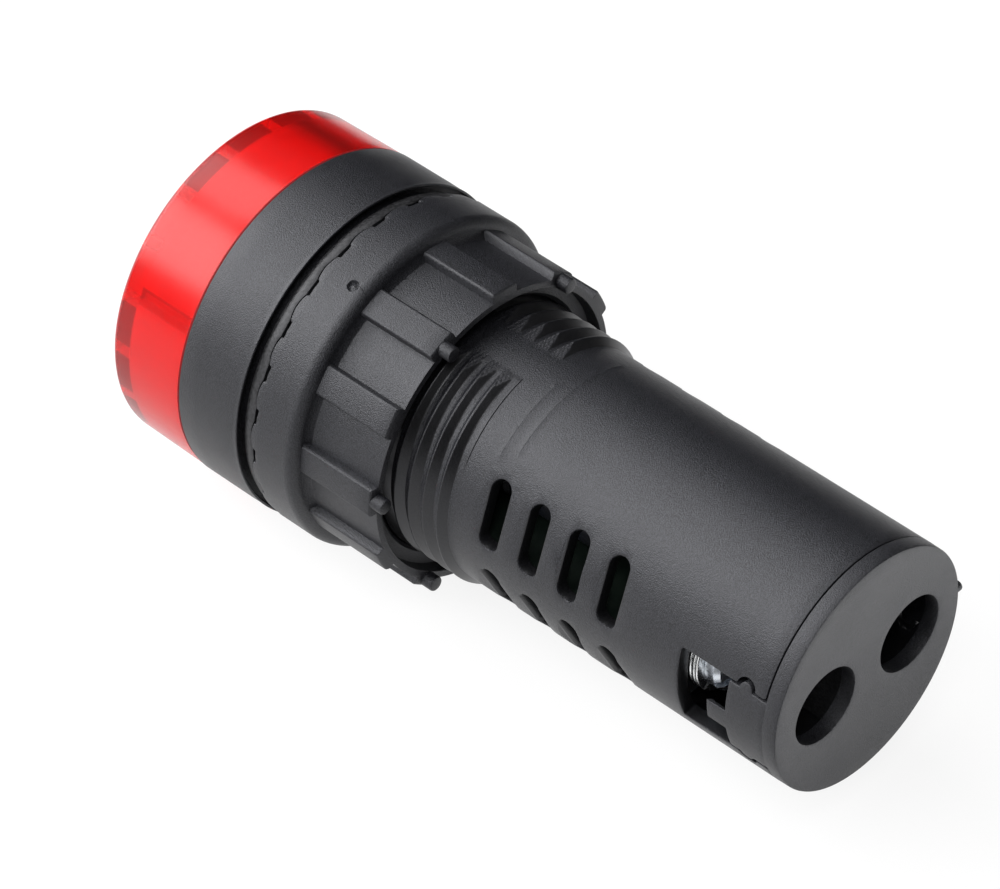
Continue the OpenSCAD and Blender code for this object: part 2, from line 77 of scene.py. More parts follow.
fine_steps = (-0.63, -0.51, -0.4, -0.29, -0.25, -0.16, -0.09, -0.06, -0.03, 0.03, 0.06, 0.1, 0.14,
              0.22, 0.3, 0.4, 0.5, 0.6, 0.68)
coarse_steps, fine_ridges = (-0.51, -0.25, -0.06, 0.06, 0.2, 0.44, 0.68), 5
columns = []
for start, step, count in ((-90, 2, 15), (-60, 1.5, 80), (60, 0.6, 100), (120, 1.5, 100)):
    columns += [start + step * i for i in range(count)]


def around(angle, r, y):
    """A point at an angle about the device's axis."""
    return (r * math.cos(math.radians(angle)), y, r * math.sin(math.radians(angle)))


def arc(angle):
    """Length round the barrel up to an angle, for flat paths on it."""
    return math.radians(angle) * barrel_r


def ramp(x, low, high):
    """0 below low, 1 above high and straight between them."""
    return min(1.0, max(0.0, (x - low) / (high - low)))


def half_circle(x, y, r, start, step):
    """Half a circle in the flat, from an angle on."""
    return [(x + r * math.cos(math.radians(a)), y + r * math.sin(math.radians(a)))
            for a in range(start, start + 181, step)]


def skin(points, faces, rows, ends=False):
    """Joins each closed row of points to the next; ends closes the first and the last row."""
    first, count = len(points), len(rows[0])
    for row in rows:
        points.extend(row)
    for j in range(len(rows) - 1):
        for i in range(count):
            a = first + j * count + i
            b = first + j * count + (i + 1) % count
            faces.append((a, b, b + count, a + count))
    if ends:
        faces.append(tuple(range(len(points) - count, len(points))))
        faces.append(tuple(range(first, first + count)))


def offset(path, reach, closed=True):
    """Moves a flat path to its right by reach."""
    moved = []
    for i, here in enumerate(path):
        before = path[i - 1] if closed or i > 0 else here
        after = path[(i + 1) % len(path)] if closed or i + 1 < len(path) else here
        along = Vector((after[0] - before[0], after[1] - before[1])).normalized()
        moved.append((here[0] + along.y * reach, here[1] - along.x * reach))
    return moved


def soften(path, reach, sharp=25):
    """Rounds the corners of a flat open path that are sharper than an angle."""
    made = [path[0]]
    for before, here, after in zip(path, path[1:], path[2:]):
        a, p, b = Vector(before), Vector(here), Vector(after)
        if (p - a).angle(b - p) < math.radians(sharp):
            made.append(here)
            continue
        start = p + (a - p).normalized() * min(reach, (a - p).length / 2)
        end = p + (b - p).normalized() * min(reach, (b - p).length / 2)
        for t in (0, 0.25, 0.5, 0.75, 1):
            made.append(tuple(start * (1 - t) ** 2 + p * 2 * t * (1 - t) + end * t ** 2))
    return made + [path[-1]]


def divide(path, longest):
    """Adds points to a flat path so that none of its edges is longer than longest."""
    made = []
    for a, b in zip(path, path[1:]):
        parts = max(1, math.ceil(math.dist(a, b) / longest))
        made += [(a[0] + (b[0] - a[0]) * k / parts, a[1] + (b[1] - a[1]) * k / parts)
                 for k in range(parts)]
    return made + [path[-1]]


def inside(x, y, loop):
    """Whether a flat point lies inside a closed loop."""
    odd = False
    for a, b in zip(loop, loop[1:] + loop[:1]):
        if (a[1] > y) != (b[1] > y) and x < a[0] + (y - a[1]) * (b[0] - a[0]) / (b[1] - a[1]):
            odd = not odd
    return odd


def pierced(points, faces, edge, holes, spots, place, closest=1e-6):
    """A sheet within a flat edge, with holes and extra spots; place puts a flat point in space."""
    flat, seams, boxes = [], [], []
    for loop in [edge] + holes:
        first = len(flat)
        flat += [Vector(p) for p in loop]
        seams += [(first + i, first + (i + 1) % len(loop)) for i in range(len(loop))]
    for hole in holes:
        xs, ys = zip(*hole)
        boxes.append((min(xs), max(xs), min(ys), max(ys), hole))

    def in_hole(x, y):
        return any(x0 < x < x1 and y0 < y < y1 and inside(x, y, hole)
                   for x0, x1, y0, y1, hole in boxes)

    flat += [Vector(p) for p in spots if not in_hole(*p) and inside(*p, edge)]
    found, _, triangles, *_ = delaunay_2d_cdt(flat, seams, [], 0, closest)
    first = len(points)
    points += [place(p.x, p.y) for p in found]
    for corners in triangles:
        x, y = sum((found[i] for i in corners), Vector((0, 0))) / 3
        if inside(x, y, edge) and not in_hole(x, y):
            faces.append(tuple(first + i for i in corners))


def make_piece(name, points, faces, body, nodes, materials, crease=38, weld=0.0005):
    """Makes a closed mesh from points in millimetres, and puts it in the place of the CAD nodes."""
    mesh = bpy.data.meshes.new(name)
    mesh.from_pydata([(x * MM, y * MM, z * MM) for x, y, z in points], [], faces)
    work = bmesh.new()
    work.from_mesh(mesh)
    bmesh.ops.remove_doubles(work, verts=work.verts, dist=weld * MM)
    bmesh.ops.recalc_face_normals(work, faces=work.faces)
    work.to_mesh(mesh)
    work.free()
    mesh.polygons.foreach_set("use_smooth", [True] * len(mesh.polygons))
    mesh.set_sharp_from_angle(angle=math.radians(crease))
    for material in materials:
        mesh.materials.append(material)
    made = bpy.data.objects.new(name, mesh)
    bpy.context.scene.collection.objects.link(made)
    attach(made, body)
    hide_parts(*nodes)
    return made


def new_material(name, **inputs):
    """A material, its node tree and its shader, with the shader's constant inputs set."""
    made = bpy.data.materials.new(name)
    made.use_nodes = True
    shader = made.node_tree.nodes["Principled BSDF"]
    for key, value in inputs.items():
        shader.inputs[key.replace("_", " ")].default_value = value
    return made, made.node_tree, shader


def add(tree, kind, **values):
    """Adds a shader node and sets its plain properties and its unlinked inputs."""
    made = tree.nodes.new(kind)
    for key, value in values.items():
        if hasattr(made, key):
            setattr(made, key, value)
        else:
            made.inputs[key.replace("_", " ")].default_value = value
    return made


def two_tone(tree, dark, light, low=0.0, high=1.0):
    """Adds a colour ramp between two tones."""
    made = add(tree, "ShaderNodeValToRGB")
    for i, position, colour in ((0, low, dark), (1, high, light)):
        made.color_ramp.elements[i].position = position
        made.color_ramp.elements[i].color = (*colour, 1)
    return made


def wire(tree, *links):
    """Links outputs to inputs, each row naming a node and its output, and a node and its input."""
    for source, output, target, into in links:
        tree.links.new(source.outputs[output], target.inputs[into])


def moulded_black(name, colour, roughness, grain, depth):
    """Spark-eroded black plastic: a fine raised grain that also speckles its tone, with slow
    changes of gloss.
    """
    made, tree, shader = new_material(name, Specular_Tint=(0.95, 0.955, 1, 1), IOR=1.5)
    place = add(tree, "ShaderNodeTexCoord")
    fine = add(tree, "ShaderNodeTexNoise", Scale=grain, Detail=1.0, Roughness=0.5)
    cloud = add(tree, "ShaderNodeTexNoise", Scale=240.0, Detail=4.0)
    bump = add(tree, "ShaderNodeBump", Strength=1.0, Distance=depth)
    tone = two_tone(tree, [c * 0.3 for c in colour], [c * 1.8 for c in colour], low=0.36, high=0.64)
    gloss = add(tree, "ShaderNodeMapRange", To_Min=roughness - 0.06, To_Max=roughness + 0.06)
    wire(tree, (place, "Object", fine, "Vector"), (place, "Object", cloud, "Vector"),
         (fine, "Fac", bump, "Height"), (fine, "Fac", tone, "Fac"), (cloud, "Fac", gloss, "Value"),
         (tone, "Color", shader, "Base Color"), (gloss, "Result", shader, "Roughness"),
         (bump, "Normal", shader, "Normal"))
    return made


def helix(angle):
    """How far the thread has run along the neck at an angle; it returns across the lower flat."""
    angle = (angle + 180 - side_end + flat_turn) % 360 - 180 + side_end - flat_turn
    rise = lead * math.sin(math.radians(side_end))
    if angle < -side_end:
        return rise - (pitch / 2 + 2 * rise) * ramp(-side_end - angle, 0, flat_turn)
    if angle <= side_end:
        return -lead * math.sin(math.radians(angle))
    if angle < 180 - side_end:
        return -rise - (pitch / 2 - 2 * rise) * ramp(angle, side_end, 180 - side_end)
    return -pitch / 2 + lead * math.sin(math.radians(angle))


def ridge(behind):
    """Share of the thread's height at a distance behind its crest: a steep front, a longer back."""
    run = rear_run if behind > 0 else front_run
    fall = (abs(behind) - crest_half) / run
    if abs(fall) < crest_round:
        fall = (fall + crest_round) ** 2 / (4 * crest_round)
    return min(1, max(0, 1 - fall))


def neck_r(angle, along):
    """Radius of the neck; the flats cut the thread off, with the chatter of the mould's split."""
    angle = (angle + 90) % 360 - 90
    far_side = angle > 90
    r = barrel_r
    for k in range(ridge_count):
        if k != (ridge_count - 1 if far_side else 0):
            r = max(r, barrel_r + (thread_r - barrel_r) * ridge(along - thread_top + k * pitch))
    if not far_side:
        lift = root_lift * ramp(angle, lift_start, lift_full)
        r = max(r, barrel_r + lift * (1 - ramp(along - thread_top, lift_end, lift_back)))
    upright = abs(math.sin(math.radians(angle)))
    if upright > flat_limit:
        waves = math.sin(19 * along + 0.8 * angle) * math.sin(2.2 * along + 1.3 * angle)
        r = max(barrel_r, min(r, flat_z / upright + chatter_height * waves))
    return r


def wall_r(x, y, r):
    """Radius of the barrel's wall; two fine lines on top show where the mould's sleeves met."""
    if r == barrel_r:
        for line_y, start, end in witness_lines:
            if arc(start) < x < arc(end):
                r += witness_height * max(0, 1 - abs(y - line_y) / witness_half)
    return r


def vent_loop(middle, y):
    """A slot with round ends."""
    return (half_circle(arc(middle) + vent_reach, y, vent_half, -90, 15)
            + half_circle(arc(middle) - vent_reach, y, vent_half, 90, 15))


def window_path(middle):
    """A wire window, open at the barrel's end, with a round recess for a snap bump in each side."""
    half = math.asin(window_half_z / barrel_r) * barrel_r
    left, right = arc(middle) - half, arc(middle) + half
    return ([(left, barrel_end)] + half_circle(left, recess_y, recess_r, 90, 20)
            + [(left, window_y), (right, window_y)]
            + half_circle(right, recess_y, recess_r, -90, 20) + [(right, barrel_end)])


def straight_sided(x, r):
    """Angle of a point on a radius, with the window's sides cut straight, not towards the axis."""
    angle = x / barrel_r
    middle = math.pi if angle > math.pi / 2 else 0
    turn = angle - middle
    share = 1 - ramp(abs(turn), math.radians(straight_turn), math.radians(bent_turn))
    if share == 0:
        return math.degrees(angle)
    return math.degrees(angle + share * (math.asin(barrel_r * math.sin(turn) / r) - turn))


def rim(edge, top, bottom):
    """Steps through an opening with broken edges: how far to stand back from it, and the height."""
    return [(edge, top), (edge * 0.3, top - edge * 0.3), (0, top - edge),
            (0, bottom + edge), (edge * 0.3, bottom + edge * 0.3), (edge, bottom)]


points, faces = [], []
bezel = [(cup_r, mouth_y), (head_r - 0.15, mouth_y), (head_r - 0.05, mouth_y + 0.03),
         (head_r, mouth_y + 0.12), (head_r, -4.5), (head_r, -1.6), (head_r - 0.025, -0.5),
         (head_r - 0.035, -0.2), (head_r, -0.12), (head_r - 0.01, -0.04), (head_r - 0.06, 0),
         (groove_outer_r + 0.08, 0), (groove_outer_r + 0.02, -0.06), (groove_outer_r, groove_y),
         (groove_inner_r, groove_y), (groove_inner_r - 0.04, 0), (barrel_r + 0.25, 0),
         (barrel_r + 0.07, 0.07), (barrel_r, neck_start)]
rows = [[around(a, r, y) for a in columns] for r, y in bezel]
along_thread = sorted(thread_top - k * pitch + t for k in range(ridge_count)
                      for t in (fine_steps if k < fine_ridges else coarse_steps))
rows += [[around(a, neck_r(a, u), u + helix(a)) for a in columns] for u in along_thread]
rows.append([around(a, barrel_r, sheet_start) for a in columns])
skin(points, faces, rows)

castle = [(arc(-90), barrel_end), *window_path(0), *window_path(180), (arc(270), barrel_end)]
castle = divide(soften(castle, window_round), net_step)
vents = [vent_loop(m, vent_first + k * vent_pitch) for m in vent_middles for k in range(vent_count)]
seam_ys = [sheet_start + (barrel_end - sheet_start) * k / net_rows for k in range(1, net_rows)]
foot = [(arc(a), sheet_start) for a in columns + [270]]
spots = [(arc(-90 + net_turn * i), y) for i in range(1, round(360 / net_turn)) for y in seam_ys]
for y, start, end in witness_lines:
    turns = [start + witness_turn * i for i in range(int((end - start) / witness_turn))]
    spots += [(arc(a), y + t) for a in turns for t in (-witness_half, 0, witness_half)]
for r in (barrel_r, bore_r):
    top = [(arc(straight_sided(x, r)), y) for x, y in offset(castle, window_edge, closed=False)]
    right = [(arc(270), y) for y in seam_ys]
    left = [(arc(-90), y) for y in reversed(seam_ys)]
    pierced(points, faces, foot + right + top[::-1] + left, [offset(v, vent_edge) for v in vents],
            spots, lambda x, y: around(math.degrees(x / barrel_r), wall_r(x, y, r), y))
for v in vents:
    skin(points, faces, [[around(math.degrees(x / barrel_r), r, y) for x, y in offset(v, back)]
                         for back, r in rim(vent_edge, barrel_r, bore_r)])
skin(points, faces, [[around(straight_sided(x, r), r, y)
                      for x, y in offset(castle, back, closed=False)[:-1]]
                     for back, r in rim(window_edge, barrel_r, bore_r)])
bore = [(bore_r, sheet_start), (bore_r, 10), (bore_r, cup_floor_y + 0.15),
        (bore_r + 0.15, cup_floor_y), (cup_r - 0.2, cup_floor_y), (cup_r, cup_floor_y - 0.2),
        (cup_r, mouth_y)]
skin(points, faces, [[around(a, r, y) for a in columns] for r, y in bore])
black, black_gloss, grain, grain_depth = (0.0135, 0.0138, 0.0165), 0.41, 10000, 0.000042
black_grain = moulded_black("black_grained_plastic", black, black_gloss, grain, grain_depth)
# A smoother black, a shade darker than the grained one: the smoothness is the finish, and the
# darker tone is painted shade.
smooth_black_painted_shade = moulded_black("black_smooth_plastic_painted_shade", (0.008, 0.008, 0.009), 0.33, 14000, 0.000008)
shell = make_piece("housing_shell", points, faces, "body", ["housing"],
                   [black_grain, smooth_black_painted_shade])
# The bore's inside and the thread's rear flanks, which face away from the main lamps, take the
# smoother black with its painted shade.
for face in shell.data.polygons:
    x, y, z = face.center / MM
    r = math.hypot(x, z)
    on_thread = barrel_r < r < thread_r and neck_start + 0.05 < y < sheet_start
    thread_back = on_thread and face.normal.y > 0.3
    face.material_index = 1 if r < barrel_r - 0.2 or thread_back else 0

# Main board and its parts: a glass-fibre board in the housing's rails, with a film capacitor, an
# electrolytic, a rectifier, a driver chip and three resistors soldered to it. They are bought parts
# and keep their CAD shapes.


def dress(material, *nodes):
    """Gives CAD nodes a finish."""
    for name in nodes:
        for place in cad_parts[name].material_slots:
            place.material = material


def mottled(name, dark, light, scale, roughness, metallic=0.0, depth=0.00001, stretch=(1, 1, 1)):
    """A finish of two near tones in patches with a fine relief; stretch draws the patches out."""
    made, tree, shader = new_material(name, Metallic=metallic)
    place = add(tree, "ShaderNodeTexCoord")
    turn = add(tree, "ShaderNodeMapping", Scale=stretch)
    patches = add(tree, "ShaderNodeTexNoise", Scale=scale, Detail=5.0)
    tone = two_tone(tree, dark, light, low=0.35, high=0.65)
    gloss = add(tree, "ShaderNodeMapRange", To_Min=roughness - 0.07, To_Max=roughness + 0.07)
    bump = add(tree, "ShaderNodeBump", Strength=0.6, Distance=depth)
    wire(tree, (place, "Object", turn, "Vector"), (turn, "Vector", patches, "Vector"),
         (patches, "Fac", tone, "Fac"), (patches, "Fac", gloss, "Value"),
         (patches, "Fac", bump, "Height"), (tone, "Color", shader, "Base Color"),
         (gloss, "Result", shader, "Roughness"), (bump, "Normal", shader, "Normal"))
    return made


# The board is coloured near black: painted shade, so that the vents look dark inside the housing.
dress(mottled("circuit_board_painted_shade", (0.004, 0.008, 0.006), (0.008, 0.014, 0.010), 900, 0.4),
      "main_board")
dress(mottled("film_capacitor_epoxy", (0.30, 0.20, 0.03), (0.40, 0.27, 0.05), 500, 0.35),
      "drop_capacitor")
dress(mottled("electrolytic_sleeve", (0.010, 0.012, 0.018), (0.016, 0.018, 0.026), 700, 0.3),
      "filter_capacitor")
dress(mottled("chip_epoxy", (0.010, 0.010, 0.010), (0.020, 0.020, 0.020), 2500, 0.5),
      "bridge_rectifier", "driver_chip")
dress(mottled("resistor_lacquer", (0.48, 0.36, 0.22), (0.58, 0.45, 0.29), 900, 0.4), "resistors")
dress(mottled("tinned_pins", (0.60, 0.50, 0.25), (0.72, 0.62, 0.34), 1500, 0.3, metallic=1.0),
      "header_pins")

# Lamp board: a round white board at the bottom of the cup, with eight white lamps in a ring. The
# lens's spigot presses it on the cup's floor.
dress(mottled("white_solder_mask", (0.78, 0.78, 0.75), (0.86, 0.86, 0.84), 700, 0.4), "led_board")
dress(mottled("lamp_silicone", (0.80, 0.76, 0.60), (0.88, 0.85, 0.72), 1200, 0.45), "leds")

# Sounder: a pale moulded cup with a sound hole, a plug behind it, and a brass plate with a bonded
# ceramic disc that is clamped between them. It stands in the middle of the lamp board.
dress(mottled("sounder_cup_plastic", (0.72, 0.71, 0.67), (0.80, 0.79, 0.75), 800, 0.5),
      "sounder_case")
dress(moulded_black("sounder_plug_plastic", (0.02, 0.02, 0.021), 0.5, 4000, 0.00003),
      "sounder_cover")
dress(mottled("piezo_brass", (0.62, 0.46, 0.16), (0.72, 0.55, 0.22), 1500, 0.3, metallic=1.0),
      "piezo_plate")
dress(mottled("piezo_ceramic", (0.72, 0.68, 0.58), (0.80, 0.77, 0.68), 2500, 0.6), "piezo_ceramic")

# Lens: a cap of clear red plastic, polished outside and frosted inside. Its front has a ring of
# sound slots near the edge, two ribs stiffen its wall inside, and its spigot is pressed into the
# housing's cup.
lens_face, lens_inner_face, lens_rim = -14.15, -12.75, -6.45
lens_r, lens_front_r, lens_inner_r, lens_edge = 14.65, 14.55, 13.45, 0.6
spigot_r, spigot_inner_r, spigot_end = 13.5, 12.4, -3.42
slot_inner_r, slot_outer_r, slot_count, slot_half, slot_first = 11.35, 13.05, 18, 7.75, 17
slot_pitch, land_edge = 360 / slot_count, 0.27
rib_middle, rib_apart, rib_turn, rib_height = 30, 180, 1.95, 0.9
outside_r, seam_r, seam_height = 14.0, 14.3, 0.15
# The band of angles under the main lamp where the slot walls are painted as bright as the wall
# (painted light), then the place, width and darkness of a painted shade streak on the inner wall.
painted_light_start, painted_light_end, streak_angle, streak_turn, streak_shade = 27, 67, 117, 7, 0.13


def tinted_red(name, colour, clear, roughness, relief):
    """Red plastic with slow waves in its surface; the mesh's depth value paints shade on it."""
    made, tree, shader = new_material(name, Transmission_Weight=clear, IOR=1.45)
    place = add(tree, "ShaderNodeTexCoord")
    waves = add(tree, "ShaderNodeTexNoise", Scale=450.0, Detail=3.0)
    bump = add(tree, "ShaderNodeBump", Strength=1.0, Distance=relief)
    gloss = add(tree, "ShaderNodeMapRange", To_Min=roughness * 0.8, To_Max=roughness * 1.2)
    depth = add(tree, "ShaderNodeAttribute", attribute_name="depth")
    tone = two_tone(tree, colour, [c * streak_shade for c in colour])
    wire(tree, (depth, "Fac", tone, "Fac"), (tone, "Color", shader, "Base Color"),
         (place, "Object", waves, "Vector"), (waves, "Fac", bump, "Height"),
         (waves, "Fac", gloss, "Value"), (gloss, "Result", shader, "Roughness"),
         (bump, "Normal", shader, "Normal"))
    return made


def from_nearest(angle, first, apart):
    """Turn from the nearest of the places that begin at first and repeat."""
    return (angle - first + apart / 2) % apart - apart / 2


def lens_wall_r(angle, r):
    """Radius of the inner wall, with its two ribs."""
    on_rib = abs(from_nearest(angle, rib_middle, rib_apart)) <= rib_turn + 0.01
    return r - rib_height if on_rib else r


slot_turns = [-slot_half + slot_half * i / 4 for i in range(9)]
land_turns = [slot_half + land_edge, slot_pitch / 2, slot_pitch - slot_half - land_edge]
group = len(slot_turns + land_turns)
lens_columns = [slot_first + k * slot_pitch + t for k in range(slot_count)
                for t in slot_turns + land_turns]
edge_end = lens_face + lens_edge
outer = [(slot_outer_r, lens_face)]
outer += [(lens_front_r - lens_edge + lens_edge * math.sin(math.radians(a)),
           edge_end - lens_edge * math.cos(math.radians(a))) for a in range(0, 91, 15)]
outer += [(lens_front_r + (lens_r - lens_front_r) * k / 6, edge_end + (lens_rim - edge_end) * k / 6)
          for k in range(1, 6)]
outer += [(lens_r - 0.005, lens_rim - 0.15), (lens_r - 0.01, lens_rim - 0.1),
          (lens_r - 0.08, lens_rim - 0.02), (lens_r - 0.2, lens_rim)]
inner = [(spigot_r, lens_rim), (spigot_r, spigot_end + 0.1), (spigot_r - 0.1, spigot_end),
         (spigot_inner_r, spigot_end), (spigot_inner_r, lens_rim + 0.3),
         (lens_inner_r, lens_rim + 0.05)]
inner += [(lens_inner_r, lens_rim - 0.6 * k) for k in range(1, 11)]
inner += [(lens_inner_r - 0.08, lens_inner_face + 0.06), (slot_outer_r, lens_inner_face)]
points, faces = [], []
skin(points, faces, [[around(a, r, y) for a in lens_columns] for r, y in outer])
rows = [[around(a, *outer[-1]) for a in lens_columns]]
for r, y in inner:
    ribbed = lens_inner_face + 0.05 < y < lens_rim
    rows.append([around(a, lens_wall_r(a, r) if ribbed else r, y) for a in lens_columns])
skin(points, faces, rows)
front_rings, count = (slot_outer_r, slot_inner_r, 7.5, 3.5), len(lens_columns)
for y in (lens_face, lens_inner_face):
    first = len(points)
    for r in front_rings:
        points += [around(a, r, y) for a in lens_columns]
    points.append((0, y, 0))
    for j in range(len(front_rings) - 1):
        for i in range(count):
            over_slot = j == 0 and i % group < len(slot_turns) - 1
            if not over_slot:
                a, b = first + j * count + i, first + j * count + (i + 1) % count
                faces.append((a, b, b + count, a + count))
    last, hub = len(points) - 1 - count, len(points) - 1
    faces += [(last + i, last + (i + 1) % count, hub) for i in range(count)]
for k in range(slot_count):
    turns = lens_columns[k * group:k * group + len(slot_turns)]
    loop = [(a, slot_outer_r) for a in turns] + [(a, slot_inner_r) for a in reversed(turns)]
    skin(points, faces, [[around(a, r, y) for a, r in loop] for y in (lens_face, lens_inner_face)])
# Besides the clear and frosted reds, three opaque reds are painted shade: a dark red for the slot
# walls and the front edge by the slots, a deep red for the ribs, and a darker red for a thin band
# at the bezel.
red = tinted_red("red_polished_plastic", (1.0, 0.02, 0.018), 0.85, 0.24, 0.000004)
frosted = tinted_red("red_frosted_plastic", (1.0, 0.016, 0.014), 0.2, 0.5, 0.00003)
slot_shade = tinted_red("red_slot_wall_painted_shade", (0.32, 0.008, 0.012), 0.0, 0.35, 0.00003)
rib_shade = tinted_red("red_rib_painted_shade", (0.78, 0.004, 0.004), 0.0, 0.5, 0.00003)
seam_shade = tinted_red("red_seam_painted_shade", (0.28, 0.004, 0.006), 0.0, 0.6, 0.00003)
lens = make_piece("red_lens", points, faces, "body", ["lens"],
                  [red, frosted, slot_shade, rib_shade, seam_shade])
for face in lens.data.polygons:
    x, y, z = face.center / MM
    r, angle = math.hypot(x, z), math.degrees(math.atan2(z, x))
    on_front = y < lens_face + 0.02
    # Slot walls take the dark red as painted shade, except the slots' end walls and the walls under
    # the main lamp, which keep the frosted red as painted light. The front edge by each slot takes
    # the dark red as painted shade.
    in_slot = (slot_inner_r - 0.1 < r < slot_outer_r + 0.1
               and not on_front and y < lens_inner_face - 0.05)
    across = abs(face.normal.x * x + face.normal.z * z) < 0.5 * r
    painted_light_slot = in_slot and (across or painted_light_start < angle < painted_light_end)
    by_slot = abs(from_nearest(angle, slot_first, slot_pitch)) < slot_half
    on_edge = (by_slot and r > slot_outer_r
               and lens_face + 0.02 < y < lens_face + 0.8 * lens_edge)
    # The ribs take an opaque deep red: painted shade for the darker band they show through the
    # wall.
    on_rib = (lens_inner_r - rib_height - 0.05 < r < lens_inner_r - 0.05
              and lens_inner_face < y < lens_rim - 0.8)
    # A thin band of the outer wall at the bezel takes a darker red: painted shade for the seam
    # between lens and bezel.
    if r > seam_r and y > lens_rim - seam_height:
        face.material_index = 4
    elif (in_slot and not painted_light_slot) or on_edge:
        face.material_index = 2
    else:
        face.material_index = 3 if on_rib else 0 if on_front or r > outside_r else 1
# The depth value is painted shade: it darkens a streak of the frosted inner wall near the top,
# round the streak's angle.
depth = lens.data.attributes.new("depth", "FLOAT", "POINT")
for vertex, value in zip(lens.data.vertices, depth.data):
    x, y, z = vertex.co / MM
    if lens_inner_r - 0.25 < math.hypot(x, z) < lens_inner_r + 0.15:
        turn = math.degrees(math.atan2(z, x)) - streak_angle
        value.value = math.exp(-(turn / streak_turn) ** 2)

# Terminals: a black insulating block with two plated plates, whose tails are soldered to the main
# board. Each has a pan-head screw with a flat washer and a split spring washer of two coils, which
# press the wire on the plate.
dress(moulded_black("terminal_base_plastic", (0.012, 0.012, 0.013), 0.5, 4500, 0.00004),
      "terminal_base")
dress(mottled("zinc_plate", (0.72, 0.74, 0.76), (0.84, 0.86, 0.88), 900, 0.34, metallic=1.0),
      "terminal_plate_a", "terminal_plate_b")
terminal_x, washer_hole_r, washer_edge, split_turn, split_start = 4.77, 1.6, 0.05, 3, -35
zinc_dark, zinc_light, zinc_draw = (0.88, 0.89, 0.90), (0.96, 0.97, 0.97), (1, 6, 1)
zinc_washer = mottled("zinc_washer", zinc_dark, zinc_light, 1600, 0.22, 1.0, stretch=zinc_draw)
spring_zinc = mottled("spring_zinc", zinc_dark, zinc_light, 1600, 0.26, 1.0, stretch=zinc_draw)
for kind, slot, finish, washer_r, front, back, coils in (
        ("clamp_washer", "plated_steel", zinc_washer, 3.94, 41.32, 41.92, 1),
        ("spring_washer", "spring_steel", spring_zinc, 3.9, 41.94, 42.54, 2)):
    half = (back - front) / 2 / coils
    profile = [(washer_hole_r, back - washer_edge), (washer_hole_r, front + washer_edge),
               (washer_hole_r + washer_edge, front)]
    for k in range(coils):
        profile += [(washer_r - half + half * math.cos(math.radians(t)),
                     front + half * (1 + 2 * k + math.sin(math.radians(t))))
                    for t in range(-84, 85, 21)]
    profile.append((washer_hole_r + washer_edge, back))
    split = coils > 1
    start, gap = (split_start, split_turn) if split else (0, 0)
    sweep = [start + gap + (360 - 2 * gap) * k / 90 for k in range(91)]
    for letter, side in (("a", 1), ("b", -1)):
        rings = []
        for angle in sweep:
            turned = [around(angle, r, y) for r, y in profile]
            rings.append([(side * terminal_x + side * x, y, z) for x, y, z in turned])
        points, faces = [], []
        skin(points, faces, rings, ends=split)
        make_piece(f"{kind}_{letter}_ring", points, faces, f"clamp_{letter}",
                   [f"{kind}_{letter}"], [finish])
dress(mottled("zinc_screw", (0.70, 0.75, 0.82), (0.84, 0.88, 0.94), 1400, 0.28, metallic=1.0),
      "terminal_screw_a", "terminal_screw_b")

# End cap: a black disc with two driver holes. Its two tabs fill the back of the wire windows, and
# bumps on their sides snap into the housing's recesses. Its sprue was cut at the rim and left a
# small nub.
cap_front, cap_back, front_edge, back_edge = 50.39, 51.76, 0.1, 0.16
hole_x, hole_r, hole_edge, hole_clear = terminal_x, 3.3, 0.14, 0.44
cap_turns, hole_turns, cap_net, net_cells = 160, 72, 0.9, 11
tab_r, tab_half, tab_y, tab_edge, tab_round, snap_r = barrel_r - 0.01, 3.5, 46.85, 0.07, 0.16, 0.6
finger_low, finger_high, finger_y, finger_thin = 1.3, 0.6, 45.05, 0.75
tab_net, tab_clear, tab_step = 0.6, 0.3, 0.5
sprue_y, sprue_z, sprue_turns = 51.28, 0.12, 32
sprue = [(0.46, 0.4), (0.46, -0.36), (0.42, -0.45), (0.28, -0.5)]


def ring_loop(x, z, r, count):
    """A circle in the flat."""
    turns = [2 * math.pi * i / count for i in range(count)]
    return [(x + r * math.cos(t), z + r * math.sin(t)) for t in turns]


points, faces = [], []
rim_rows = [(barrel_r - front_edge, cap_front), (barrel_r - 0.03, cap_front + 0.03),
            (barrel_r, cap_front + front_edge), (barrel_r - 0.02, cap_back - 0.5),
            (barrel_r - 0.03, cap_back - 0.13), (barrel_r - 0.07, cap_back - 0.04),
            (barrel_r - back_edge, cap_back)]
cap_columns = [360 * i / cap_turns for i in range(cap_turns)]
skin(points, faces, [[around(a, r, y) for a in cap_columns] for r, y in rim_rows])
hole_loops = [ring_loop(s * hole_x, 0, hole_r + hole_edge, hole_turns) for s in (-1, 1)]
for y, r in ((cap_front, barrel_r - front_edge), (cap_back, barrel_r - back_edge)):
    cells = range(-net_cells, net_cells + 1)
    net = [(cap_net * i, cap_net * j) for i in cells for j in cells]
    net = [p for p in net if math.hypot(*p) < r - 0.4
           and all(math.dist(p, (s * hole_x, 0)) > hole_r + hole_clear for s in (-1, 1))]
    pierced(points, faces, ring_loop(0, 0, r, cap_turns), hole_loops, net, lambda x, z: (x, y, z))
for s in (-1, 1):
    skin(points, faces, [[(x, y, z) for x, z in ring_loop(s * hole_x, 0, hole_r + back, hole_turns)]
                         for back, y in rim(hole_edge, cap_back, cap_front)])
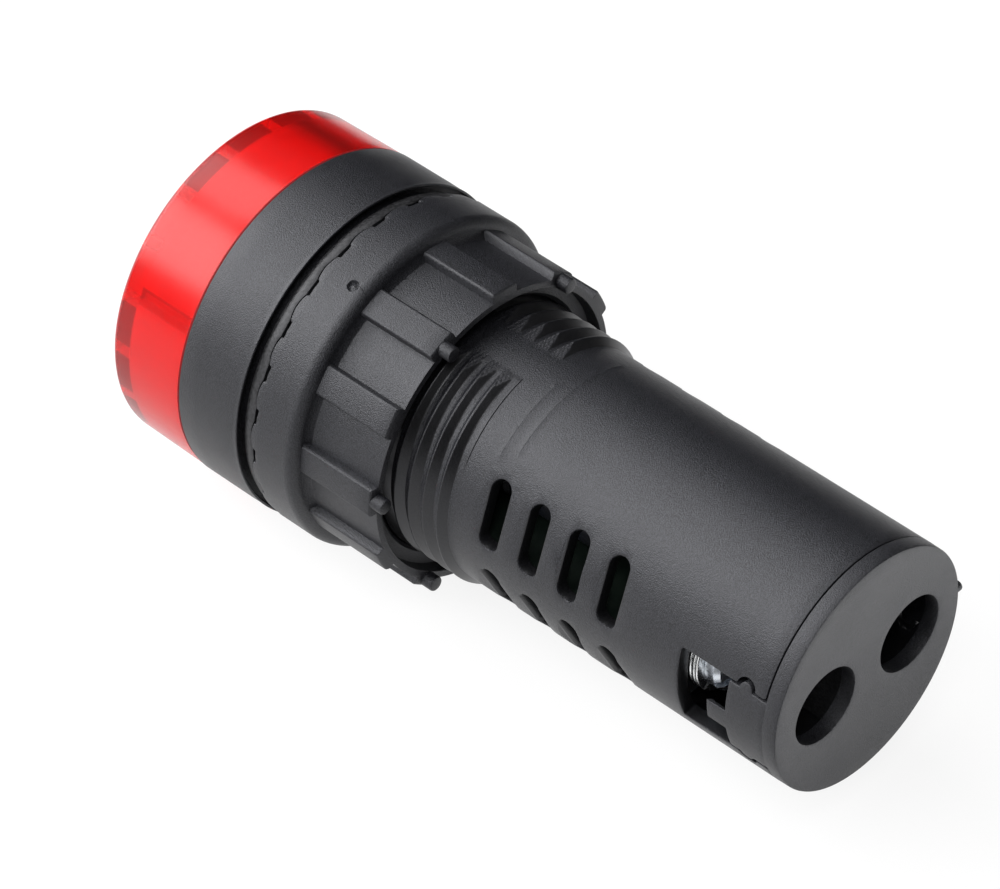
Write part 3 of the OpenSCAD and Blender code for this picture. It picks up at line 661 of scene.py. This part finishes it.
for middle, tab_draft in ((0, 0.22), (180, 0.0)):
    side = [(tab_half, tab_y)] + half_circle(tab_half, recess_y, snap_r, -90, 20)
    side.append((tab_half, cap_front + 0.2))
    tab = [(finger_high, finger_y), (finger_high, tab_y)] + side
    tab += [(-x, y) for x, y in reversed(side)] + [(-finger_low, tab_y), (-finger_low, finger_y)]
    tab = divide(soften(tab + tab[:1], tab_round), tab_step)[:-1]
    spots = [(tab_net * i, finger_y + tab_net * j) for i in range(-6, 7) for j in range(1, 10)]

    def on_tab(x, y, r):
        """A point of the tab; its finger is thinner on the inside."""
        if r < bore_r + 0.1:
            r += finger_thin * (1 - ramp(y, tab_y - 0.1, tab_y + 0.2))
        return around(middle + math.degrees(math.asin(x / r)), r, y)

    for r, back in ((tab_r, tab_edge), (bore_r, tab_edge + tab_draft)):
        loop = offset(tab, -back)
        clear = [p for p in spots if all(math.dist(p, q) > tab_clear for q in loop)]
        pierced(points, faces, loop, [], clear, lambda x, y: on_tab(x, y, r))
    steps = [(tab_edge, tab_r), (tab_edge * 0.3, tab_r - tab_edge * 0.3), (0, tab_r - tab_edge),
             (tab_draft, bore_r + tab_edge), (tab_draft + tab_edge, bore_r)]
    skin(points, faces, [[on_tab(x, y, r) for x, y in offset(tab, -back)] for back, r in steps])
skin(points, faces, [[(x - barrel_r, y, z) for y, z in ring_loop(sprue_y, sprue_z, r, sprue_turns)]
                     for r, x in sprue], ends=True)
cap_black = moulded_black("cap_black_plastic", black, 0.46, 11000, 0.00005)
make_piece("end_cap_cover", points, faces, "body", ["end_cap"], [cap_black])

# Seal ring: a moulded ring of black rubber with a narrow foot on the bezel's side and a wide lip
# under the nut. The nut presses it on the panel, and its lip follows the nut's teeth.
seal_inner_r, foot_r, seal_r, seal_shelf_r = thread_r + 0.08, 13.28, 14.3, 13.84
seal_front, lip_y, crest_y, seal_back = 0.02, 0.1, 1.18, 1.45
gap_first, gap_pitch, gap_half, gap_count, bow_depth = 2.5, 15, 2.9, 24, 0.2
tooth_turns = (gap_half, 3.6, 4.3, 5, 6.2, 7.5, 8.8, 10, 10.7, 11.4)


def tooth_bow(angle):
    """How far the rounded front of a tooth lies back on its way to the gap between two teeth."""
    from_middle = gap_pitch / 2 - abs(from_nearest(angle, gap_first, gap_pitch))
    return bow_depth * min(1, from_middle / (gap_pitch / 2 - gap_half)) ** 2


seal_columns = [gap_first + k * gap_pitch + t for k in range(gap_count)
                for t in (-gap_half, -1.4, 0, 1.4, *tooth_turns)]
seal_section = [(seal_inner_r, seal_front, 0), (foot_r - 0.08, seal_front, 0),
                (foot_r, seal_front + 0.04, 0), (13.62, lip_y + 0.02, 0), (13.86, lip_y + 0.09, 0),
                (14.04, lip_y + 0.2, 0), (14.17, lip_y + 0.36, 0), (14.25, lip_y + 0.55, 0.2),
                (seal_r - 0.01, lip_y + 0.76, 0.5), (seal_r, crest_y, 1),
                (seal_r - 0.03, crest_y + 0.05, 1), (seal_shelf_r + 0.11, crest_y + 0.07, 1),
                (seal_shelf_r + 0.02, crest_y + 0.11, 0.5), (seal_shelf_r, seal_back, 0),
                (seal_inner_r, seal_back, 0), (seal_inner_r, seal_front, 0)]
points, faces = [], []
skin(points, faces, [[around(a, r, y + follow * tooth_bow(a)) for a in seal_columns]
                     for r, y, follow in seal_section])
rubber = moulded_black("seal_black_rubber", (0.014, 0.014, 0.015), 0.45, 4200, 0.00001)
make_piece("rubber_seal", points, faces, "seal", ["seal_ring"], [rubber])

# Panel nut: a black moulded nut with teeth that bite on the seal, a rounded shoulder and twelve
# grip ribs. Six small stubs on its back are left by the ejector pins, and a dimple with a hair of
# flash on the shoulder by the gate.
nut_front, nut_back, nut_bore_r, nut_chamfer_r = 1.47, 13.6, seal_inner_r, 12.04
flange_r, floor_r, rib_r, rib_back, teeth_r = 14.6, 13.0, 13.73, 13.53, 13.9
shoulder_y, shoulder_r, floor_y, counterbore_r, counterbore = 5.1, 1.0, 6.54, 12.4, 1.3
rib_first, rib_pitch, rib_half, rib_round, rib_count = 9.5, 30, 5.5, 0.18, 12
gap_depth, gap_flank = 0.22, 0.35
gate_angle, gate_y, gate_r, gate_depth, gate_core = 69.4, 4.55, 0.5, 0.26, 0.17
gate_rows_start, gate_row, gate_row_count, gate_turn, gate_turns = 3.98, 0.07, 16, 0.2, 11
stub_r, stub_root, stub_height, stub_turns = 0.65, 1.2, 1, 24
hair_angle, hair_y, hair_r, hair_steps = 70.2, 5.0, 0.045, 11


def rib_share(angle, y):
    """1 on a grip rib, 0 between the ribs, with rounded edges."""
    beside = abs(from_nearest(angle, rib_first, rib_pitch)) - rib_half
    out = max(math.radians(beside) * rib_r, y - rib_back)
    if out < 0:
        return 1 - 0.3 * max(0, 1 + out / rib_round) ** 2
    return 0.7 * (1 - ramp(out, 0, 0.05))


def tooth_edge(angle):
    """How far the nut's front edge lies back: round teeth, with gaps of uneven depth between."""
    turn = abs(from_nearest(angle, gap_first, gap_pitch))
    depth = gap_depth + 0.04 * math.sin(angle * 0.37) + 0.02 * math.sin(angle * 1.7)
    return tooth_bow(angle) + depth * (1 - ramp(turn, gap_half - gap_flank, gap_half))


def nut_point(angle, r, y):
    """A point of the nut at an angle, moved where the teeth, a grip rib or the gate's mark is."""
    back = tooth_edge(angle) if r > teeth_r - 0.01 and y < nut_front + 0.2 else 0
    if y > shoulder_y and r > floor_r - 0.01:
        r = max(r, floor_r + (rib_r - floor_r) * rib_share(angle, y))
    away = math.hypot(math.radians(angle - gate_angle) * flange_r, y - gate_y) / gate_r
    if r > flange_r - 0.1 and away < 1:
        ragged = 0.03 * math.sin(angle * 9) * math.sin(y * 23)
        r -= gate_depth * min(1, 5 * (1 - away)) - (gate_core + ragged) * max(0, 1 - 1.4 * away)
    return around(angle, r, y + back)


rib_turns = [s * (rib_half + t) for s in (-1, 1) for t in (0.21, 0, -0.2, -0.45, -0.75)]
rib_turns += [-2, 2, 9, 12, 15, 18, 21]
gap_turns = (-gap_half, gap_flank - gap_half, 0, gap_half - gap_flank, *tooth_turns)
nut_columns = {0.0}
nut_columns.update(rib_first + k * rib_pitch + t for k in range(rib_count) for t in rib_turns)
nut_columns.update(gap_first + k * gap_pitch + t for k in range(gap_count) for t in gap_turns)
nut_columns.update(gate_angle + gate_turn * k for k in range(-gate_turns, gate_turns + 1))
nut_columns = sorted(a % 360 for a in nut_columns)
nut_columns = [a for a, b in zip(nut_columns, nut_columns[1:] + [999]) if b - a > 0.02]
section = [(nut_chamfer_r, nut_front), (teeth_r - 0.02, nut_front), (teeth_r, nut_front),
           (flange_r - 0.14, nut_front), (flange_r - 0.04, nut_front + 0.04),
           (flange_r, nut_front + 0.14), (flange_r, 2.25), (flange_r, 3.2)]
section += [(flange_r, gate_rows_start + gate_row * k) for k in range(gate_row_count)]
section += [(flange_r - shoulder_r + shoulder_r * math.cos(math.radians(a)),
             shoulder_y + shoulder_r * math.sin(math.radians(a)))
            for a in (0, 4, 9, 15, 22, 30, 40, 50, 60, 70, 80, 90)]
section += [(floor_r + 0.07, floor_y - 0.12), (floor_r + 0.02, floor_y - 0.07), (floor_r, floor_y)]
section += [(floor_r, y) for y in (8, 10, 12)]
section += [(floor_r, rib_back + y) for y in (-rib_round, -0.1, -0.04, 0, 0.05)]
section += [(floor_r - 0.12, nut_back), (counterbore_r + 0.05, nut_back),
            (counterbore_r, nut_back - 0.05), (counterbore_r - 0.1, nut_back - counterbore + 0.1),
            (nut_bore_r + 0.3, nut_back - counterbore), (nut_bore_r, nut_back - counterbore - 0.3),
            (nut_bore_r, nut_front + 0.5), (nut_bore_r + 0.5, nut_front),
            (nut_chamfer_r, nut_front)]
points, faces = [], []
skin(points, faces, [[nut_point(a, r, y) for a in nut_columns] for r, y in section])
stub = [(stub_r, nut_back - stub_root), (stub_r, nut_back + stub_height - 0.15),
        (stub_r - 0.05, nut_back + stub_height - 0.04), (stub_r - 0.16, nut_back + stub_height)]
for k in range(0, rib_count, 2):
    x, _, z = around(rib_first + k * rib_pitch, rib_r - stub_r - 0.05, 0)
    skin(points, faces, [[(u, y, w) for u, w in ring_loop(x, z, r, stub_turns)] for r, y in stub],
         ends=True)
hair = []
for k in range(hair_steps):
    angle, y = hair_angle - 0.12 * k + 0.2 * math.sin(0.6 * k), hair_y + 0.1 * k
    fall = math.sqrt(shoulder_r ** 2 - max(0, y - shoulder_y) ** 2)
    x, _, z = around(angle, flange_r - shoulder_r + fall + 0.02, y)
    hair.append([(u, y, w) for u, w in ring_loop(x, z, hair_r, 6)])
skin(points, faces, hair, ends=True)
nut_black = moulded_black("nut_black_plastic", black, black_gloss, grain, grain_depth)
nut = make_piece("ribbed_nut", points, faces, "nut", ["panel_nut"],
                 [nut_black, cap_black])
for face in nut.data.polygons:
    x, y, z = face.center / MM
    if face.normal.y > 0.5 and y < nut_back + 0.1 or math.hypot(x, z) < counterbore_r + 0.1:
        face.material_index = 1

# Studio: a sheet of white paper, five softboxes, black cards at the far side and behind the cap
# that keep those sides dark, a white card that shows in the cap's gloss, and the camera at the
# photograph's angle. Lengths in this section are in metres.
floor_half, floor_drop, card_lift, device_middle = 1.6, 0.00005, 0.0005, Vector((0, 0.015, 0))
floor_z = cad_box[0].z - floor_drop
card_z = floor_z + card_lift
paper_tone, paper_glow, card_glow, room_light = 0.14, 0.87, 1.7, 0.15
side_ends, side_top = ((-0.17, 0.10), (-0.06, -0.22)), 0.09
side_strip = ((-0.1, 0.10), (-0.05, -0.22))
rear_ends, rear_top = ((-0.3, 0.45), (0.5, 0.45)), 0.45
rear_area = ((0.024, 0.038), (0.3, 0.38), (0.3, 0.45), (0.03, 0.45))
bright_area = ((-0.1, 0.062), (0.02, 0.062), (0.02, 0.16), (-0.1, 0.16))


def softbox(name, direction, distance, width, height, power):
    """A lamp with a square front that faces the device; its height runs along the device."""
    lamp = bpy.data.lights.new(name, "AREA")
    lamp.shape = "RECTANGLE"
    lamp.size, lamp.size_y, lamp.energy = width, height, power
    made = bpy.data.objects.new(name, lamp)
    towards = Vector(direction).normalized()
    made.location = towards * distance + device_middle
    upright = (Vector((0, 1, 0)) - towards * towards.y).normalized()
    turned = Matrix((upright.cross(towards), upright, towards)).transposed()
    made.rotation_euler = turned.to_euler()
    bpy.context.scene.collection.objects.link(made)


def lying(z, *corners):
    """A sheet that lies flat at a height."""
    return [(x, y, z) for x, y in corners]


def standing(ends, top):
    """A card that stands on the floor between two ends."""
    return lying(card_z, *ends) + lying(top, *reversed(ends))


def flat_sheets(name, sheets, material):
    """An object made of four-sided sheets."""
    mesh = bpy.data.meshes.new(name)
    corners = [corner for sheet in sheets for corner in sheet]
    mesh.from_pydata(corners, [], [tuple(range(k, k + 4)) for k in range(0, len(corners), 4)])
    mesh.materials.append(material)
    made = bpy.data.objects.new(name, mesh)
    bpy.context.scene.collection.objects.link(made)
    return made


paper, tree, shader = new_material(
    "white_paper", Base_Color=(paper_tone, paper_tone, paper_tone, 1), Roughness=0.9,
    Specular_IOR_Level=0.0, Emission_Color=(1, 1, 1, 1))
rays = add(tree, "ShaderNodeLightPath")
seen = add(tree, "ShaderNodeMath", operation="MAXIMUM")
seen_or_mirrored = add(tree, "ShaderNodeMath", operation="MAXIMUM")
lift = add(tree, "ShaderNodeMath", operation="MULTIPLY")
lift.inputs[1].default_value = paper_glow
wire(tree, (rays, "Is Camera Ray", seen, 0), (rays, "Is Glossy Ray", seen, 1),
     (seen, 0, seen_or_mirrored, 0), (rays, "Is Transmission Ray", seen_or_mirrored, 1),
     (seen_or_mirrored, 0, lift, 0), (lift, 0, shader, "Emission Strength"))
floor = flat_sheets("paper_floor", [lying(
    floor_z, (-floor_half, -floor_half), (floor_half, -floor_half), (floor_half, floor_half),
    (-floor_half, floor_half))], paper)

softbox("main_softbox", (0.548, -0.508, 0.666), distance=0.6, width=0.36, height=0.75, power=4.1)
softbox("top_softbox", (-0.095, -0.508, 0.856), distance=0.6, width=0.28, height=0.75, power=2.2)
softbox("side_softbox", (0.93, -0.2, 0.3), distance=0.7, width=0.4, height=0.4, power=0.8)
softbox("rear_softbox", (0.38, 0.36, 0.85), distance=0.7, width=0.2, height=0.2, power=1.2)
softbox("front_softbox", (0.15, -0.95, 0.3), distance=0.6, width=0.4, height=0.4, power=1.5)

card_black, *_ = new_material("card_black", Base_Color=(0.01, 0.01, 0.01, 1), Roughness=0.9,
                              Specular_IOR_Level=0.0)
bright, *_ = new_material("bright_white", Emission_Color=(1, 1, 1, 1), Emission_Strength=card_glow)
card = flat_sheets("black_card", [
    standing(side_ends, side_top), lying(card_z, side_ends[0], *side_strip, side_ends[1]),
    lying(card_z, *rear_area), standing(rear_ends, rear_top)], card_black)
bright_card = flat_sheets("bright_card", [lying(card_z, *bright_area)], bright)
for flag in (card, bright_card):
    flag.visible_camera = False
    flag.visible_shadow = False
    flag.visible_diffuse = False

world = bpy.data.worlds.new("dim_room")
world.use_nodes = True
world.node_tree.nodes["Background"].inputs["Color"].default_value = (1, 1, 1, 1)
world.node_tree.nodes["Background"].inputs["Strength"].default_value = room_light
bpy.context.scene.world = world

aim, distance = Vector((0.526, 14.711, -0.362)) * MM, 403.283 * MM
camera_turn, camera_height, camera_roll = 136.129, 45.202, -3.809
sensor_width, focal_length = 36, 187.19
camera_data = bpy.data.cameras.new("camera")
camera_data.sensor_fit = "HORIZONTAL"
camera_data.sensor_width = sensor_width
camera_data.lens = focal_length
camera = bpy.data.objects.new("camera", camera_data)
turn = (Matrix.Rotation(math.radians(camera_turn), 4, "Z")
        @ Matrix.Rotation(math.radians(90 - camera_height), 4, "X")
        @ Matrix.Rotation(math.radians(camera_roll), 4, "Z"))
camera.matrix_world = Matrix.Translation(aim) @ turn @ Matrix.Translation((0, 0, distance))
bpy.context.scene.collection.objects.link(camera)
bpy.context.scene.camera = camera
bpy.context.scene.view_settings.view_transform = "Standard"
